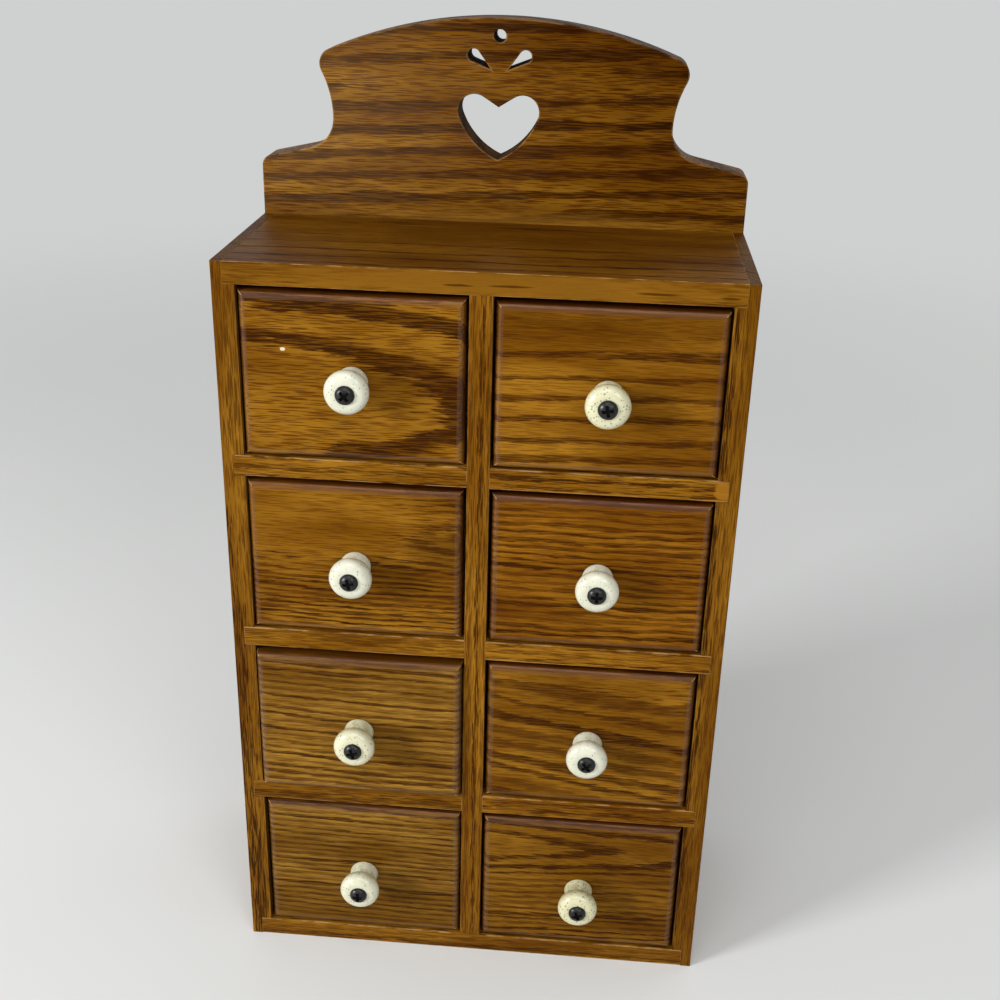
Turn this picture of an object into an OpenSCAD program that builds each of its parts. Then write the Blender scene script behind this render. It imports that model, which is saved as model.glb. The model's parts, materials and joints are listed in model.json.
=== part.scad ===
// Spice cabinet: a small oak case with two columns of drawers under a shaped crest board.
// Millimetres. +Z is up, the drawers face -Y, the origin is the centre of the underside.

/* [Case] */
// Outer width of the case
case_w = 230; // [200:1:280]
// Depth of the case, front edge to back edge
case_d = 114; // [98:1:150]
// Height of the case without its crest
case_h = 361; // [320:1:420]
// Thickness of the case boards
board_t = 10; // [8:0.5:13]
// Depth of the grooves in the sides that hold shelves, top, bottom and back
dado_d = 5; // [3:0.5:6]
// Thickness of the back panel
back_t = 3; // [2:0.5:5]
// How far the back panel lies in from the back edges
back_recess = 0.8; // [0.7:0.1:2]

/* [Crest] */
// Height of the crest board above the case
crest_h = 92.5; // [86:0.5:110]
// Thickness of the crest board
crest_t = 19; // [15:0.5:22]
// Height of the waist above the case
waist_h = 46; // [42:0.5:54]
// Width across the waist
waist_w = 158.5; // [146:0.5:164]
// Radius of the sweep from the shoulder up to the waist
sweep_r = 14.5; // [8:0.5:16]
// Radius of the sweep from the waist up to the ear
flare_r = 46; // [36:1:70]
// Radius of the rounded ear
ear_r = 7; // [4:0.5:9]
// Radius of the long arc along the top
top_r = 214; // [190:1:240]
// Slope of the shoulders, in degrees
shoulder_slope = 12.5; // [6:0.5:20]
// Radius of the outer corners
corner_r = 4.5; // [2:0.5:6]
// Sideways offset of the outline from the middle of the case
crest_shift = -1; // [-4:0.5:4]

/* [Cut-outs] */
// Sideways offset of the cut-outs from the middle of the case
motif_shift = -2.5; // [-5:0.5:5]
// Radius of the hanging hole
hang_r = 2.8; // [2.2:0.1:3.4]
// Distance from the top edge down to the hanging hole
hang_drop = 7.7; // [7:0.1:9]
// Length of each petal
petal_l = 12.7; // [9:0.1:13.5]
// Radius of a petal's round end
petal_r = 2.8; // [1.8:0.1:3.2]
// Distance from the middle of the motif to a petal's tip
petal_x = 4; // [3.5:0.1:6]
// Distance from the top edge down to a petal's tip
petal_drop = 22.4; // [22:0.1:25]
// Rise of a petal from tip to round end, in degrees
petal_rise = 37.5; // [30:0.5:48]
// Radius of a heart lobe
lobe_r = 7.6; // [6:0.1:9]
// Distance from the middle of the heart to a lobe's centre
lobe_x = 11.2; // [10:0.1:12.5]
// Distance from the top edge down to the lobes
lobe_drop = 33.5; // [32:0.5:37]
// Height of the heart from tip to lobes
heart_h = 29.5; // [27:0.5:33]
// Depth of the dip between the lobes
heart_dip = 5.6; // [4:0.1:7]
// Radius of the heart's bowed sides
heart_side_r = 34.5; // [30:0.5:60]

/* [Drawer] */
// Thickness of a drawer front
front_t = 10; // [9:0.5:13]
// Radius of the rounded front edges
edge_r = 3.5; // [2.5:0.5:5]
// Thickness of a drawer's side and back boards
box_t = 6; // [5:0.5:8]
// How much lower the box is than its front
box_drop = 9; // [4:0.5:16]
// Thickness of a drawer's bottom panel
bottom_t = 3; // [2:0.5:4]
// Height of the bottom panel above the drawer's lower edge
bottom_up = 4; // [3:0.5:6]
// Depth of the corner joints and of the groove for the bottom panel
joint_d = 3; // [2:0.5:4]
// Gap between a drawer and each side of its opening
side_gap = 0.9; // [0.6:0.05:1.5]
// Gap above a drawer front
top_gap = 2.2; // [1:0.1:3]
// Running gap under a drawer
run_gap = 0.3; // [0.2:0.05:0.5]
// Gap between a closed drawer and the back panel
stop_gap = 0.4; // [0.2:0.1:1]

/* [Drawer places] */
// Sideways place of the left drawers, top to bottom: 0 is centred, 1 touches the right
left_lean = [-0.4, -0.7, 0, 0.3]; // [-0.8:0.1:0.8]
// Sideways place of the right drawers, top to bottom
right_lean = [0.2, 0.3, 0.2, 0]; // [-0.8:0.1:0.8]
// How far the left drawers stand out, top to bottom
left_out = [0, 0, 4, 0]; // [0:0.5:5]
// How far the right drawers stand out, top to bottom
right_out = [0, 0, 0, 0]; // [0:0.5:5]
// How far the left knobs sit below the middle of their fronts, top to bottom
left_drop = [1, 2, 2, 3]; // [0:0.5:6]
// How far the right knobs sit below the middle of their fronts, top to bottom
right_drop = [1.5, 1, 3, 4]; // [0:0.5:6]
// How far the screws of the left knobs are turned, top to bottom, in degrees
left_turn = [40, 10, 15, 0]; // [0:5:85]
// How far the screws of the right knobs are turned, top to bottom, in degrees
right_turn = [10, 0, 35, 20]; // [0:5:85]

/* [Knob] */
// Height of the knob in front of the drawer
knob_h = 17.2; // [14:0.1:22]
// Radius of the foot on the drawer front
knob_foot_r = 7.1; // [6.5:0.1:8.5]
// Radius of the neck
knob_neck_r = 5.8; // [5:0.1:6.4]
// Radius of the head
knob_head_r = 9.8; // [8.5:0.1:12]
// Radius of the flat in the middle of the head
knob_face_r = 5.4; // [4.6:0.1:6]
// Distance from the drawer front to the neck
knob_neck_at = 8; // [6:0.5:9]
// Distance from the drawer front to the widest part of the head
knob_head_at = 13.3; // [11:0.1:14.5]

/* [Screws and brads] */
// Shank radius of the knob screw
screw_r = 2; // [1.5:0.1:2.2]
// Head radius of the knob screw
screw_head_r = 4.3; // [3.5:0.1:4.5]
// Head height of the knob screw
screw_head_h = 2.6; // [2:0.1:3]
// Length of the knob screw inside the drawer front
screw_in = 8; // [6:0.5:8.5]
// Width of the slots in the cross recess
recess_w = 1.5; // [1:0.1:1.8]
// Length of the slots in the cross recess
recess_l = 5.2; // [4:0.1:5.6]
// Depth of the cross recess
recess_d = 1.8; // [1:0.1:2]
// Gap round a screw or brad in a hole that it grips
grip_gap = 0.05; // [0.02:0.01:0.1]
// Gap round a screw in a hole that it passes
pass_gap = 0.25; // [0.15:0.05:0.4]
// Shank radius of a crest screw
crest_screw_r = 1.75; // [1.4:0.05:2]
// Head radius of a crest screw
crest_screw_head_r = 3.3; // [2.8:0.1:3.6]
// Length of a crest screw inside the crest board
crest_screw_in = 14; // [10:0.5:18]
// Distance between crest screws
crest_screw_pitch = 50; // [40:1:56]
// Shank radius of a back panel brad
brad_r = 0.7; // [0.5:0.05:0.9]
// Head radius of a back panel brad
brad_head_r = 1.5; // [1.2:0.1:1.8]
// Head thickness of a back panel brad
brad_head_h = 0.5; // [0.4:0.05:0.6]
// Length of a brad behind the panel's face
brad_l = 12; // [9:0.5:16]

/* [Hidden] */
rows = 4;
columns = ["left", "right"];
lean = [left_lean, right_lean];
out = [left_out, right_out];
drop = [left_drop, right_drop];
turn = [left_turn, right_turn];

// Openings and the depth that they leave in front of the back panel
open_w = (case_w - 3 * board_t) / 2;
open_h = (case_h - (rows + 1) * board_t) / rows;
row_pitch = open_h + board_t;
shelf_d = case_d - back_recess - back_t;
front_y = -case_d / 2;
back_y = case_d / 2;
panel_y = front_y + shelf_d;

// Drawer sizes that follow from its opening
front_w = open_w - 2 * side_gap;
front_h = open_h - top_gap - run_gap;
box_h = front_h - box_drop;
drawer_l = shelf_d - stop_gap;
floor_w = front_w - 2 * (box_t - joint_d);
back_z = bottom_up + bottom_t;

// Cuts run this far past the faces that they open
past = 1;
// Facets of round parts, and steps along each arc of an outline and each curve of a turned section
round_fn = 48;
arc_n = 16;
turned_n = 8;
crest_screw_n = 4;

oak = "#96652c";
oak_front = "#8a5823";
oak_edge = "#a3722f";
raw_wood = "#c9a873";
panel_wood = "#b48a56";
glaze = "#ebe7da";
black_steel = "#262424";
bright_steel = "#9b9a96";

drawer_pieces = ["front", "sides", "back", "bottom", "knob", "screw"];
function drawer_node(row, col, piece) = str("drawer_", row, "_", columns[col], "_", piece);
case_nodes = [
    "left_side", "right_side", "top_board", "bottom_board", "centre_divider", "left_shelves",
    "right_shelves", "back_panel", "back_panel_brads", "crest_board", "crest_screws"
];

// Points along an arc from angle a to angle b
function arc(centre, r, a, b) =
    [for (i = [0 : arc_n]) centre + r * [cos(a + (b - a) * i / arc_n), sin(a + (b - a) * i / arc_n)]];

// The point at distance ra from a and rb from b, to the left of the way from a to b
function meet(a, ra, b, rb) =
    let (way = b - a, d = norm(way), along = (ra * ra - rb * rb + d * d) / (2 * d))
    let (aside = sqrt(ra * ra - along * along), u = way / d)
    a + along * u + aside * [-u[1], u[0]];

// Direction from one point to another, in degrees
function heading(from, to) = atan2(to[1] - from[1], to[0] - from[0]);

// An outline from its right half and its left half, each drawn on the right from the bottom up
function joined(right, left) = concat(right, [for (i = [len(left) - 1 : -1 : 0]) [-left[i][0], left[i][1]]]);

function shelf_z(row) = board_t + (rows - row) * row_pitch;

// Case

module side_board() {
    inner = case_w / 2 - board_t;
    difference() {
        translate([inner, front_y, 0]) cube([board_t, case_d, case_h]);
        // One groove for each shelf, and the rebates for the bottom and top boards
        for (i = [0 : rows])
            translate([inner - past, front_y - past, i * row_pitch - (i == 0 ? past : 0)])
                cube([dado_d + past, case_d + 2 * past, board_t + (i == 0 || i == rows ? past : 0)]);
        // Rebate for the back panel
        translate([inner - past, panel_y, 0]) cube([dado_d + past, case_d, case_h]);
        for (z = brad_heights) translate([inner + dado_d / 2, panel_y, z]) brad_hole();
    }
}

module left_side() color(oak) mirror([1, 0, 0]) side_board();

module right_side() color(oak) side_board();

module wide_board() {
    w = case_w - 2 * (board_t - dado_d);
    translate([-w / 2, front_y, 0]) cube([w, case_d, board_t]);
}

module top_board() color(oak) difference() {
    translate([0, 0, case_h - board_t]) wide_board();
    at_crest_screws() crest_screw_shape(pass_gap);
}

module bottom_board() color(oak) wide_board();

module centre_divider() color(oak_edge) difference() {
    translate([-board_t / 2, front_y, board_t]) cube([board_t, shelf_d, case_h - 2 * board_t]);
    for (z = brad_heights) translate([0, panel_y, z]) brad_hole();
}

// The shelves of the right column, from the divider into the grooves of the side
module shelves() for (row = [1 : rows - 1])
    translate([board_t / 2, front_y, shelf_z(row) - board_t]) cube([open_w + dado_d, shelf_d, board_t]);

module left_shelves() color(oak_edge) mirror([1, 0, 0]) shelves();

module right_shelves() color(oak_edge) shelves();

// Back panel and its brads, in three upright lines with one brad beside each drawer

brad_heights = [for (row = [1 : rows]) shelf_z(row) + open_h / 2];
brad_lines = [-1, 0, 1] * (case_w / 2 - board_t + dado_d / 2);

module along_y(l, r) rotate([-90, 0, 0]) cylinder(h = l, r = r, $fn = round_fn);

module brad_hole() translate([0, -(brad_l - back_t) - grip_gap, 0])
    along_y(brad_l + 2 * past, brad_r + grip_gap);

module back_panel() color(panel_wood) difference() {
    w = case_w - 2 * (board_t - dado_d);
    translate([-w / 2, panel_y, board_t]) cube([w, back_t, case_h - 2 * board_t]);
    for (x = brad_lines, z = brad_heights) translate([x, panel_y, z]) brad_hole();
}

module back_panel_brads() color(bright_steel) for (x = brad_lines, z = brad_heights)
    translate([x, panel_y + back_t, z]) {
        translate([0, -brad_l, 0]) along_y(brad_l + brad_head_h, brad_r);
        along_y(brad_head_h, brad_head_r);
    }

// Crest board

// Half of the crest's outline, from its middle to a board end at distance end
function crest_half(end) =
    let (waist = [waist_w / 2, waist_h], sweep = waist + [sweep_r, 0], flare = waist + [flare_r, 0])
    let (crown = [0, crest_h - top_r], ear = meet(crown, top_r - ear_r, flare, flare_r + ear_r))
    // The shoulder line leaves the sweep at the toe and runs out to the rounded corner
    let (toe = sweep - sweep_r * [sin(shoulder_slope), cos(shoulder_slope)], corner_x = end - corner_r)
    let (corner_z = toe[1] - (corner_x - toe[0]) * tan(shoulder_slope) - corner_r / cos(shoulder_slope))
    let (ear_angle = heading(crown, ear))
    concat(
        [[end, 0]],
        arc([corner_x, corner_z], corner_r, 0, 90 - shoulder_slope),
        arc(sweep, sweep_r, 270 - shoulder_slope, 180),
        arc(flare, flare_r, 180, heading(flare, ear)),
        arc(ear, ear_r, heading(ear, flare), ear_angle),
        arc(crown, top_r, ear_angle, 90)
    );

module crest_outline() translate([crest_shift, 0])
    polygon(joined(crest_half(case_w / 2 - crest_shift), crest_half(case_w / 2 + crest_shift)));

module heart() {
    lobe = [lobe_x, crest_h - lobe_drop - lobe_r];
    tip = [0, crest_h - lobe_drop - heart_h];
    dip = [0, crest_h - lobe_drop - heart_dip];
    bow = meet(tip, heart_side_r, lobe, heart_side_r - lobe_r);
    join = heading(bow, lobe);
    // A straight line from the dip touches the lobe at this angle
    brow = heading(lobe, dip) - acos(lobe_r / norm(dip - lobe));
    half = concat(arc(bow, heart_side_r, heading(bow, tip), join), arc(lobe, lobe_r, join, brow), [dip]);
    polygon(joined(half, half));
}

module petal() {
    // The round end, joined to the tip by the two lines that touch it
    far = petal_l - petal_r;
    spread = 90 + asin(petal_r / far);
    polygon(concat([[0, 0]], arc([far, 0], petal_r, -spread, spread)));
}

module crest_board() color(oak) difference() {
    translate([0, back_y, case_h]) rotate([90, 0, 0]) linear_extrude(crest_t) difference() {
        crest_outline();
        translate([motif_shift, 0]) {
            heart();
            for (s = [0, 1]) mirror([s, 0])
                translate([petal_x, crest_h - petal_drop]) rotate(petal_rise) petal();
        }
    }
    translate([motif_shift, back_y - crest_t - past, case_h + crest_h - hang_drop])
        along_y(crest_t + 2 * past, hang_r);
    at_crest_screws() crest_screw_shape(grip_gap);
}

module at_crest_screws() for (i = [0 : crest_screw_n - 1])
    translate([(i - (crest_screw_n - 1) / 2) * crest_screw_pitch, back_y - crest_t / 2, case_h - board_t])
        children();

// A countersunk screw driven up through the top board, or its hole with a gap all round
module crest_screw_shape(gap) {
    cylinder(h = board_t + crest_screw_in + gap, r = crest_screw_r + gap, $fn = round_fn);
    head_h = crest_screw_head_r - crest_screw_r;
    cylinder(h = head_h, r1 = crest_screw_head_r, r2 = crest_screw_r, $fn = round_fn);
}

module crest_screws() color(bright_steel) at_crest_screws() crest_screw_shape(0);

// Drawer: local x = 0 is its middle, y = 0 its front face, z = 0 its lower edge

module at_drawer(row, col) {
    side = col == 0 ? -1 : 1;
    translate([
        side * (open_w + board_t) / 2 + lean[col][row - 1] * side_gap,
        front_y - out[col][row - 1],
        shelf_z(row) + run_gap
    ]) children();
}

// Section across a drawer front, w wide, with both front edges rounded
module front_section(w) {
    translate([-w / 2, edge_r]) square([w, front_t - edge_r]);
    translate([-w / 2 + edge_r, 0]) square([w - 2 * edge_r, edge_r]);
    for (s = [-1, 1]) translate([s * (w / 2 - edge_r), edge_r]) circle(edge_r, $fn = round_fn);
}

module drawer_front(drop) color(oak_front) difference() {
    intersection() {
        linear_extrude(front_h) front_section(front_w);
        translate([front_w / 2, 0, front_h / 2]) rotate([0, -90, 0])
            linear_extrude(front_w) front_section(front_h);
    }
    // Rebates for the drawer's sides
    for (s = [0, 1]) mirror([s, 0, 0])
        translate([front_w / 2 - box_t, front_t - joint_d, -past])
            cube([box_t + past, joint_d + past, box_h + past]);
    // Groove for the bottom panel
    translate([-floor_w / 2, front_t - joint_d, bottom_up]) cube([floor_w, joint_d + past, bottom_t]);
    translate([0, -past, front_h / 2 - drop]) along_y(screw_in + grip_gap + past, screw_r + grip_gap);
}

module drawer_side() difference() {
    inner = front_w / 2 - box_t;
    start = front_t - joint_d;
    translate([inner, start, 0]) cube([box_t, drawer_l - start, box_h]);
    translate([inner - past, start - past, bottom_up]) cube([joint_d + past, drawer_l + past, bottom_t]);
    translate([inner - past, drawer_l - box_t, back_z]) cube([joint_d + past, box_t + past, box_h]);
}

module drawer_sides() color(raw_wood) for (s = [0, 1]) mirror([s, 0, 0]) drawer_side();

module drawer_back() color(raw_wood)
    translate([-floor_w / 2, drawer_l - box_t, back_z]) cube([floor_w, box_t, box_h - back_z]);

module drawer_bottom() color(panel_wood) {
    start = front_t - joint_d;
    translate([-floor_w / 2, start, bottom_up]) cube([floor_w, drawer_l - start, bottom_t]);
}

// Knob radius at distance a from the drawer front: a waisted foot under a domed head
function foot_r(a) = knob_neck_r + (knob_foot_r - knob_neck_r) * (1 + cos(180 * a / knob_neck_at)) / 2;
function swell(t) = sqrt(max(0, 1 - t * t));
function under_r(t) = knob_neck_r + (knob_head_r - knob_neck_r) * swell(1 - t);
function dome_r(t) = knob_face_r + (knob_head_r - knob_face_r) * swell(t);

module knob_section() {
    hole = screw_r + pass_gap;
    polygon(concat(
        [[hole, 0]],
        [for (i = [0 : turned_n]) let (a = knob_neck_at * i / turned_n) [foot_r(a), a]],
        [for (i = [1 : turned_n]) let (t = 1 - cos(90 * i / turned_n))
            [under_r(t), knob_neck_at + (knob_head_at - knob_neck_at) * t]],
        [for (i = [1 : turned_n]) let (t = sin(90 * i / turned_n))
            [dome_r(t), knob_head_at + (knob_h - knob_head_at) * t]],
        [[hole, knob_h]]
    ));
}

// Turns a knob or its screw to face forward, drop below the middle of the front
module facing_out(drop) translate([0, 0, front_h / 2 - drop]) rotate([90, 0, 0]) children();

module drawer_knob(drop) color(glaze) facing_out(drop) rotate_extrude($fn = round_fn) knob_section();

// A pan head on a plain shank, with the cross recess for a driver
module drawer_screw(drop, turn) color(black_steel) facing_out(drop) difference() {
    rotate_extrude($fn = round_fn) polygon(concat(
        [[0, -screw_in], [screw_r, -screw_in + screw_r], [screw_r, knob_h]],
        [for (i = [0 : turned_n]) let (a = 90 * i / turned_n)
            [screw_head_r * cos(a), knob_h + screw_head_h * sin(a)]]
    ));
    for (slot = [0, 90]) rotate(turn + slot)
        translate([-recess_l / 2, -recess_w / 2, knob_h + screw_head_h - recess_d])
            cube([recess_l, recess_w, recess_d + past]);
}

left_side();
right_side();
top_board();
bottom_board();
centre_divider();
left_shelves();
right_shelves();
back_panel();
back_panel_brads();
crest_board();
crest_screws();
for (row = [1 : rows], col = [0, 1]) {
    low = drop[col][row - 1];
    screw_turn = turn[col][row - 1];
    at_drawer(row, col) drawer_front(low);
    at_drawer(row, col) drawer_sides();
    at_drawer(row, col) drawer_back();
    at_drawer(row, col) drawer_bottom();
    at_drawer(row, col) drawer_knob(low);
    at_drawer(row, col) drawer_screw(low, screw_turn);
}
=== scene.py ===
"""Looks of the spice cabinet: stained oak boards, glazed knobs and black screws."""
import itertools
import json
import math
from dataclasses import dataclass, replace

import bmesh
import bpy
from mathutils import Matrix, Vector

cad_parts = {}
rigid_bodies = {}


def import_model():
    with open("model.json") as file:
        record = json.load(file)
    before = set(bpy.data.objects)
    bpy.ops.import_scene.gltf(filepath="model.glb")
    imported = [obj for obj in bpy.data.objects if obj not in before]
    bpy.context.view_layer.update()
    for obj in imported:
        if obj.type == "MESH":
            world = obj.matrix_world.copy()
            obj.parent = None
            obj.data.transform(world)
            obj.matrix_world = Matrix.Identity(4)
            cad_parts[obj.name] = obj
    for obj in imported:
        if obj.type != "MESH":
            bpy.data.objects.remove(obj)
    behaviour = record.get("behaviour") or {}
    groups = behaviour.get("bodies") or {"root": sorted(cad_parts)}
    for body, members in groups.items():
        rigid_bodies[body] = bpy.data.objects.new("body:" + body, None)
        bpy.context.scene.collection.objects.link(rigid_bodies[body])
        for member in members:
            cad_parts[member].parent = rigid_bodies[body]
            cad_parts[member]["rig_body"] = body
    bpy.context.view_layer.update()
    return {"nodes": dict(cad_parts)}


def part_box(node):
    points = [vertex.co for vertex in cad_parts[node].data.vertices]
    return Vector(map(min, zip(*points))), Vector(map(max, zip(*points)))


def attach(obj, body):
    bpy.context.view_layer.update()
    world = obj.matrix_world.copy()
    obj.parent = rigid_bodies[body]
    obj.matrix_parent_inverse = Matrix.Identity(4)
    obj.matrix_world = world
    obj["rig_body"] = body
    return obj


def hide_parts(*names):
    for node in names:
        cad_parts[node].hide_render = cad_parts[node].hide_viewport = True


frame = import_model()

MM = 0.001
ROWS = (1, 2, 3, 4)
COLUMNS = ("left", "right")


# Node graphs

SRGB_KNEE = 0.04045
SRGB_SLOPE = 12.92
SRGB_OFFSET = 0.055
SRGB_POWER = 2.4
NOISE_MEAN = 0.5
NOISE_SHIFTS = (1.0, 1.7, 2.3)


def linear(code):
    """A colour written as #rrggbb, as linear red, green, blue and alpha."""
    shares = [int(code[i:i + 2], 16) / 255 for i in (1, 3, 5)]
    steep = [((s + SRGB_OFFSET) / (1 + SRGB_OFFSET)) ** SRGB_POWER for s in shares]
    return (*(s / SRGB_SLOPE if s <= SRGB_KNEE else p for s, p in zip(shares, steep)), 1.0)


class Graph:
    """One material's node tree, with a short call for each kind of node. Calls take numbers or
    sockets."""

    def __init__(self, name):
        self.material = bpy.data.materials.new(name)
        self.material.use_nodes = True
        self.tree = self.material.node_tree
        self.shader = self.tree.nodes["Principled BSDF"]

    def new(self, kind, **settings):
        node = self.tree.nodes.new("ShaderNode" + kind)
        for key, value in settings.items():
            setattr(node, key, value)
        return node

    def put(self, socket, value):
        if isinstance(value, bpy.types.NodeSocket):
            self.tree.links.new(value, socket)
        else:
            socket.default_value = value

    def call(self, node, *values):
        for socket, value in zip(node.inputs, values):
            self.put(socket, value)
        return node.outputs[0]

    def math(self, operation, *values):
        return self.call(self.new("Math", operation=operation), *values)

    def vector(self, operation, *values):
        return self.call(self.new("VectorMath", operation=operation), *values)

    def length(self, vector):
        node = self.new("VectorMath", operation="LENGTH")
        self.put(node.inputs[0], vector)
        return node.outputs["Value"]

    def split(self, vector):
        node = self.new("SeparateXYZ")
        self.put(node.inputs[0], vector)
        return list(node.outputs)

    def join(self, x, y, z):
        return self.call(self.new("CombineXYZ"), x, y, z)

    def step(self, value, low, high, start=0.0, end=1.0):
        """Goes smoothly from start at low to end at high."""
        node = self.new("MapRange", interpolation_type="SMOOTHSTEP")
        return self.call(node, value, low, high, start, end)

    def noise(self, vector, size, shift=0.0, detail=2.0, roughness=0.5):
        """Noise whose features have about this size along each axis."""
        node = self.new("TexNoise")
        shifts = [shift * s for s in NOISE_SHIFTS]
        spread = self.vector("MULTIPLY_ADD", vector, [1 / s for s in size], shifts)
        self.put(node.inputs["Vector"], spread)
        self.put(node.inputs["Scale"], 1.0)
        self.put(node.inputs["Detail"], detail)
        self.put(node.inputs["Roughness"], roughness)
        return node.outputs["Fac"]

    def swing(self, noise):
        """A noise from 0 to 1 as a swing about 0."""
        return self.math("SUBTRACT", noise, NOISE_MEAN)

    def scatter(self, number, shift):
        """A random value from 0 to 1 that is the same for equal numbers."""
        node = self.new("TexWhiteNoise", noise_dimensions="1D")
        self.put(node.inputs["W"], self.math("ADD", number, shift))
        return node.outputs["Value"]

    def dots(self, vector, pitch, shift):
        """The distance to the nearest of many scattered points, as a share of their pitch along each
        axis, and that point's random value."""
        node = self.new("TexVoronoi")
        spread = self.vector("MULTIPLY_ADD", vector, [1 / p for p in pitch], [shift] * 3)
        self.put(node.inputs["Vector"], spread)
        self.put(node.inputs["Scale"], 1.0)
        return node.outputs["Distance"], self.split(node.outputs["Color"])[0]

    def mix(self, share, a, b, kind="MIX"):
        node = self.new("Mix", data_type="RGBA", blend_type=kind)
        self.put(node.inputs[0], share)
        self.put(node.inputs[6], a)
        self.put(node.inputs[7], b)
        return node.outputs[2]

    def bump(self, height, strength, distance):
        node = self.new("Bump")
        self.put(node.inputs["Strength"], strength)
        self.put(node.inputs["Distance"], distance)
        self.put(node.inputs["Height"], height)
        self.put(self.shader.inputs["Normal"], node.outputs["Normal"])

    def local(self, centre):
        """The surface point from a centre given in metres, in millimetres."""
        point = self.new("TexCoord").outputs["Object"]
        per_metre = 1 / MM
        return self.vector("MULTIPLY_ADD", point, [per_metre] * 3, [-c * per_metre for c in centre])

    def blob(self, point, centre, half):
        """0 in the centre of an ellipsoid and 1 on its surface."""
        shift = [-c / h for c, h in zip(centre, half)]
        return self.length(self.vector("MULTIPLY_ADD", point, [1 / h for h in half], shift))

    def finish(self, **inputs):
        for name, value in inputs.items():
            self.put(self.shader.inputs[name.replace("_", " ")], value)
        return self.material


# Wood

@dataclass
class Spot:
    """An ellipsoid in a board, in millimetres along, across and into the grain from the board's centre.
    Its colour covers the wood, or with kind MULTIPLY tints it."""
    centre: tuple
    half: tuple
    colour: str = ""
    cover: float = 0.85
    soft: float = 0.3
    kind: str = "MIX"


@dataclass
class Grain:
    """How a board lay in its log, in millimetres: rings run round a pith that passes the board's centre
    at pith = (across, behind) and drifts by slope for each millimetre along the grain. One ring starts at
    start, and each ring's dark part takes at least wide of it. Rings fade out in the calm spot."""
    pith: tuple
    slope: tuple = (0.0, 0.0)
    ring: float = 4.0
    start: float = 0.0
    wide: float = 0.4
    vary: float = 0.5
    sway: float = 3.0
    fray: float = 1.5
    dark: float = 1.0
    pores: float = 0.5
    tone: float = 1.0
    calm: Spot = None
    marks: tuple = ()
    seed: float = 0.0


@dataclass
class Stain:
    """Colours of one finish, from the palest wood to the darkest pores and the pale arris colour, which
    stands for rubbing and also for a painted highlight on eased edges and mitres, and how it shines."""
    pale: str
    mid: str
    line: str
    band: str
    pore: str
    rub_and_highlight: str
    rough: float = 0.45
    shine: float = 0.08
    coat: float = 0.02
    gloss: str = "#f2b45c"


OAK_STAIN = Stain(pale="#94661a", mid="#684006", line="#4a1c03", band="#441f04", pore="#2a1002",
                  rub_and_highlight="#b08a58")
RUSSET_STAIN = Stain(pale="#926014", mid="#673c05", line="#4a1b03", band="#441e04", pore="#2a0f02",
                     rub_and_highlight="#b08a58")
OLIVE_STAIN = Stain(pale="#946c28", mid="#684610", line="#462206", band="#412206", pore="#281203",
                    rub_and_highlight="#b08a58")
SAWN_STAIN = Stain(pale="#5c3d18", mid="#452b0f", line="#301c08", band="#301c08", pore="#221305",
                   rub_and_highlight="#5c3d18", rough=0.8, shine=0.03, coat=0.0)
BARE_STAIN = Stain(pale="#d6ba8a", mid="#c4a26e", line="#a8834e", band="#a8834e", pore="#7c5c34",
                   rub_and_highlight="#dfc9a2", rough=0.62, coat=0.0, gloss="#ffffff")
PLY_STAIN = Stain(pale="#b88f5c", mid="#a0763f", line="#84602f", band="#84602f", pore="#5e4220",
                  rub_and_highlight="#c7a678", rough=0.6, coat=0.0, gloss="#ffffff")

# Sizes of the wood's figure along, across and into the grain, in millimetres
SWAY_SIZE = (55, 22, 22)
UNEVEN_SIZE = (60, 6, 6)
FIBRE_SIZE = (14, 1.0, 1.0)
PORE_PITCH = (12, 0.5, 0.5)
PATCH_SIZE = (90, 20, 20)
RUB_SIZE = (9, 3, 3)

# Each board, and each noise in it, takes its own place in the noise field
SEED_STEP = 7.31
UNEVEN_SHIFT = 3
FIBRE_SHIFT = 5
PORE_SHIFT = 8
STRENGTH_SHIFT = 11
PATCH_SHIFT = 13
RUB_SHIFT = 17

# Growth rings: how far noise moves them, and where in a ring the dark part rises and falls
SWAY_GAIN = 2
FRAY_GAIN = 4
UNEVEN_GAIN = 0.5
WIDTH_GAIN = 0.8
RING_RISE = 0.06
RING_FALL = 0.7
CALM_FRAY = 1.6
CALM_EDGE = (0.8, 1.1)

# Colour: where each layer sets in, and how much of what lies under it a layer covers
PORE_REACH = 0.5
PORE_GROWTH = 0.14
PORE_SOFT = 0.15
PORE_COVER = 0.9
BAND_COVER = 0.75
PATCH_EDGE = (0.3, 0.7)
FIBRE_EDGE = (0.4, 0.7)
FIBRE_COVER = 0.5
END_EDGE = (0.55, 0.95)
END_COVER = 0.5
MARK_FRAY = 1.2
RUB_EDGE = (0.38, 0.62)

# Relief and sheen
BAND_RELIEF = -0.35
FIBRE_RELIEF = 0.3
PORE_RELIEF = -0.8
RELIEF_STRENGTH = 0.35
RELIEF_DEPTH = 0.12 * MM
PORE_ROUGH = 0.2
PATCH_ROUGH = 0.12
ROUGH_OFFSET = -0.08
WOOD_COAT_ROUGH = 0.25


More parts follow.
